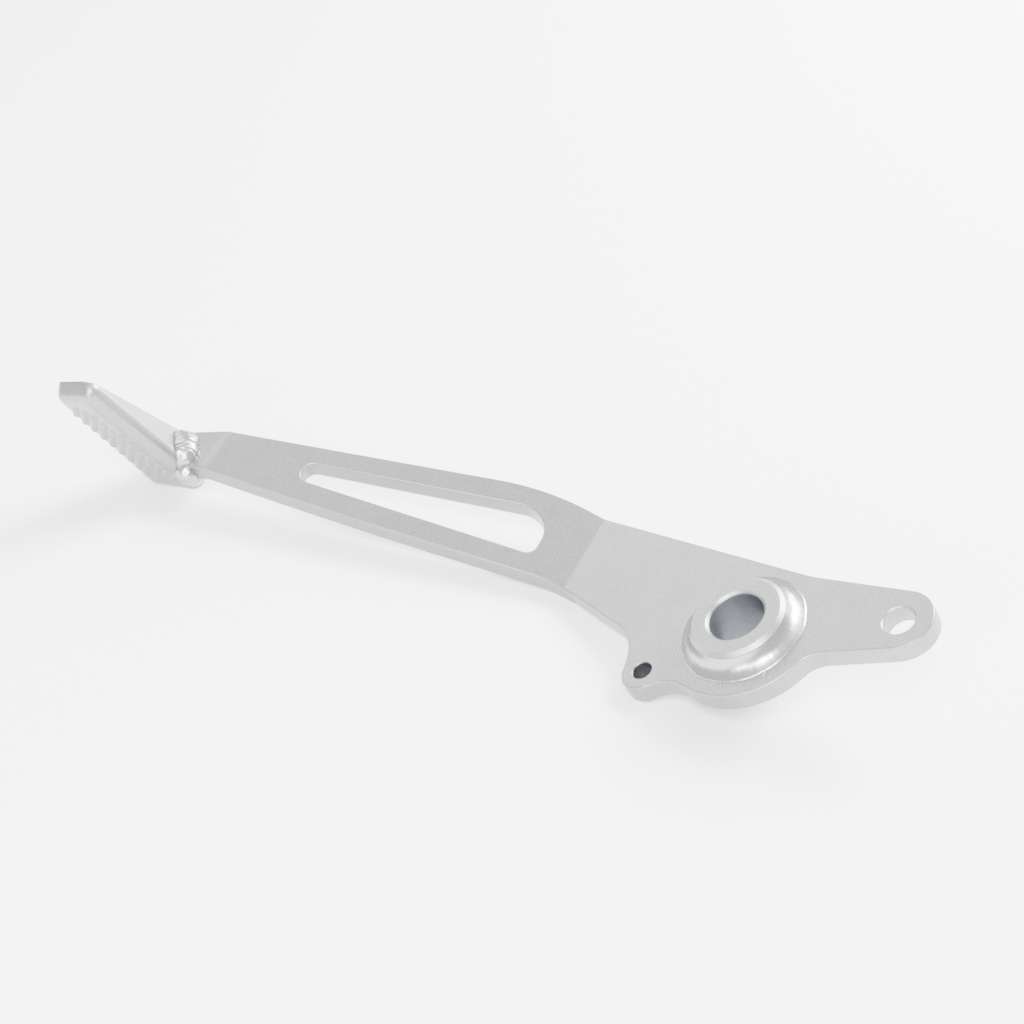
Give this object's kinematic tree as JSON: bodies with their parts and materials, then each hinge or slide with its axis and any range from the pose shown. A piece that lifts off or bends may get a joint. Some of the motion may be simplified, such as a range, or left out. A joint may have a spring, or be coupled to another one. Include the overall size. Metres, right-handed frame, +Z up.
{
  "type": "rear brake pedal",
  "caption": "Welded steel foot brake pedal for a motorbike, with a slotted, cranked plate lever, a turned pivot collar, a spring ear, a rod eye and a knurled foot tread.",
  "frame": {"origin": "on the pivot axis, where it meets the outer face of the lever plate", "axes": "The pedal lies on its inboard side as it comes to rest on a table, with +Z up. +X runs along the lever from the pivot towards the foot tread. +Y completes the frame, and the spring ear lies on that side of the pivot."},
  "size_m": [0.2784, 0.0727, 0.0491],
  "materials": {
    "silver_paint": "satin silver paint",
    "tread_steel": "satin silver paint over pressed sheet",
    "collar_steel": "satin silver paint over a turned part",
    "weld_metal": "glossy silver paint over weld metal"
  },
  "bodies": {
    "root": {"lever_plate": "silver_paint", "pivot_collar": "collar_steel", "collar_weld_outer": "weld_metal", "collar_weld_inner": "weld_metal", "foot_tread": "tread_steel", "tread_weld_outer": "weld_metal", "tread_weld_inner": "weld_metal", "tread_weld_top": "weld_metal"}
  },
  "joints": []
}
